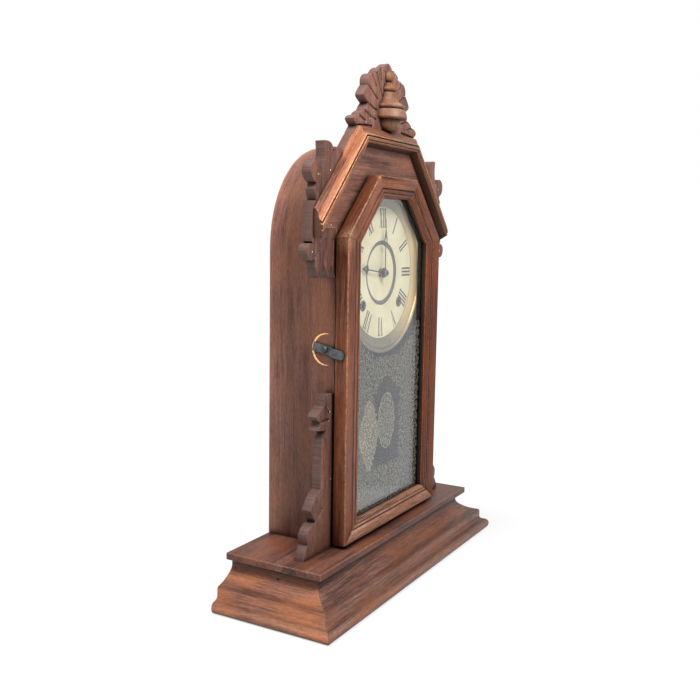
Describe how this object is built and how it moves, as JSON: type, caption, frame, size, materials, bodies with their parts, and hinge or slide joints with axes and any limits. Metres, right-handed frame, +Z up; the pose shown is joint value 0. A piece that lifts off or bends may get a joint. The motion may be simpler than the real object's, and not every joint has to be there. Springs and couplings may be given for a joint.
{
  "type": "shelf clock",
  "caption": "Pendulum shelf clock in walnut: arched bentwood case, glazed six-sided door, sawn scroll ornament, moulded ogee base, paper dial with Roman numerals.",
  "frame": {"origin": "middle of the footprint, on the surface the clock stands on", "axes": "+Z up, +X to the right of a viewer who faces the dial, +Y to the back; the dial faces -Y"},
  "size_m": [0.356, 0.1208, 0.492],
  "materials": {
    "walnut_base": "worn satin varnish",
    "walnut_case": "dull aged varnish",
    "plain_wood": "unfinished, aged",
    "walnut_ornament": "dull aged varnish",
    "turned_wood": "worn satin varnish",
    "walnut_roof": "satin varnish",
    "walnut_door": "satin varnish",
    "door_glass": "clear sheet, silver stencil on its lower part",
    "hinge_brass": "dull",
    "dark_iron": "dark, worn",
    "paper_dial": "matte paper on sheet metal",
    "bezel_brass": "polished, tarnished",
    "blued_steel": "blued",
    "movement_brass": "satin",
    "bob_brass": "pressed and polished",
    "spring_steel": "tempered"
  },
  "bodies": {
    "case": {"base_front_moulding": "walnut_base", "base_left_moulding": "walnut_base", "base_right_moulding": "walnut_base", "base_back_rail": "plain_wood", "base_top_board": "walnut_base", "case_hoop": "walnut_case", "back_board": "plain_wood", "head_board": "walnut_ornament", "ear_left": "walnut_ornament", "ear_right": "walnut_ornament", "bracket_left": "walnut_ornament", "bracket_right": "walnut_ornament", "crest_board": "walnut_ornament", "crest_turning": "turned_wood", "roof_moulding_left": "walnut_roof", "roof_moulding_top": "walnut_roof", "roof_moulding_right": "walnut_roof", "hinge_lower_case_leaf": "hinge_brass", "hinge_lower_pin": "hinge_brass", "hinge_upper_case_leaf": "hinge_brass", "hinge_upper_pin": "hinge_brass", "latch_screw": "dark_iron", "dial_plate": "paper_dial", "dial_bezel": "bezel_brass", "winding_grommet_left": "bezel_brass", "winding_grommet_right": "bezel_brass", "front_plate": "movement_brass", "back_plate": "movement_brass", "movement_seat": "plain_wood", "time_mainspring": "spring_steel", "strike_mainspring": "spring_steel", "gong": "dark_iron"},
    "door": {"door_bottom_rail": "walnut_door", "door_right_stile": "walnut_door", "door_right_slope": "walnut_door", "door_top_rail": "walnut_door", "door_left_slope": "walnut_door", "door_left_stile": "walnut_door", "door_glass": "door_glass", "glass_retainer": "plain_wood", "hinge_lower_door_leaf": "hinge_brass", "hinge_upper_door_leaf": "hinge_brass"},
    "latch": {"latch_strip": "dark_iron"},
    "minute": {"centre_wheel": "movement_brass", "minute_hand": "blued_steel", "hand_nut": "movement_brass"},
    "hour": {"hour_wheel": "movement_brass", "hour_hand": "blued_steel"},
    "motion_wheel": {"minute_wheel": "movement_brass"},
    "time_wheel": {"time_great_wheel": "movement_brass"},
    "time_arbor": {"time_winding_arbor": "spring_steel"},
    "strike_wheel": {"strike_great_wheel": "movement_brass"},
    "strike_arbor": {"strike_winding_arbor": "spring_steel"},
    "third": {"third_wheel": "movement_brass"},
    "escape": {"escape_wheel": "movement_brass"},
    "verge": {"verge": "spring_steel"},
    "pendulum": {"pendulum_rod": "movement_brass", "pendulum_bob": "bob_brass"},
    "hammer": {"strike_hammer": "dark_iron"}
  },
  "joints": [
    {"name": "door_hinge", "type": "hinge", "parent": "case", "child": "door", "pos_m": [0.0973, -0.013, 0.19], "axis": [0, 0, 1], "range_deg": [0, 100]},
    {"name": "latch_turn", "type": "hinge", "parent": "case", "child": "latch", "pos_m": [-0.0925, -0.0006, 0.2297], "axis": [1, 0, 0], "range_deg": [-90, 90]},
    {"name": "minute_turn", "type": "hinge", "parent": "case", "child": "minute", "pos_m": [0, 0.02, 0.29585], "axis": [0, 1, 0], "continuous": true},
    {"name": "hour_turn", "type": "hinge", "parent": "case", "child": "hour", "pos_m": [0, 0.02, 0.29585], "axis": [0, 1, 0], "continuous": true},
    {"name": "motion_wheel_turn", "type": "hinge", "parent": "case", "child": "motion_wheel", "pos_m": [-0.0144, 0.02, 0.29585], "axis": [0, 1, 0], "continuous": true},
    {"name": "time_wheel_turn", "type": "hinge", "parent": "case", "child": "time_wheel", "pos_m": [0.0368, 0.02, 0.2659], "axis": [0, 1, 0], "continuous": true},
    {"name": "third_turn", "type": "hinge", "parent": "case", "child": "third", "pos_m": [0, 0.02, 0.32785], "axis": [0, 1, 0], "continuous": true},
    {"name": "escape_turn", "type": "hinge", "parent": "case", "child": "escape", "pos_m": [0, 0.02, 0.34985], "axis": [0, 1, 0], "continuous": true},
    {"name": "strike_wheel_turn", "type": "hinge", "parent": "case", "child": "strike_wheel", "pos_m": [-0.0368, 0.02, 0.2659], "axis": [0, 1, 0], "continuous": true},
    {"name": "time_winding_turn", "type": "hinge", "parent": "time_wheel", "child": "time_arbor", "pos_m": [0.0368, 0.02, 0.2659], "axis": [0, 1, 0], "continuous": true},
    {"name": "strike_winding_turn", "type": "hinge", "parent": "strike_wheel", "child": "strike_arbor", "pos_m": [-0.0368, 0.02, 0.2659], "axis": [0, 1, 0], "continuous": true},
    {"name": "pendulum_swing", "type": "hinge", "parent": "case", "child": "pendulum", "pos_m": [0, 0.005, 0.368], "axis": [0, 1, 0], "range_deg": [-3, 3]},
    {"name": "verge_swing", "type": "hinge", "parent": "case", "child": "verge", "pos_m": [0, 0.01, 0.368], "axis": [0, 1, 0], "range_deg": [-3, 3]},
    {"name": "hammer_lift", "type": "hinge", "parent": "case", "child": "hammer", "pos_m": [-0.05, 0.045, 0.2315], "axis": [0, 1, 0], "range_deg": [0, 12]}
  ],
  "couplings": [
    {"joint": "hour_turn", "follows": "minute_turn", "ratio": 0.083333},
    {"joint": "motion_wheel_turn", "follows": "minute_turn", "ratio": -0.33333},
    {"joint": "time_wheel_turn", "follows": "minute_turn", "ratio": -0.2},
    {"joint": "third_turn", "follows": "minute_turn", "ratio": -9},
    {"joint": "escape_turn", "follows": "minute_turn", "ratio": 90},
    {"joint": "verge_swing", "follows": "pendulum_swing", "ratio": 1}
  ]
}
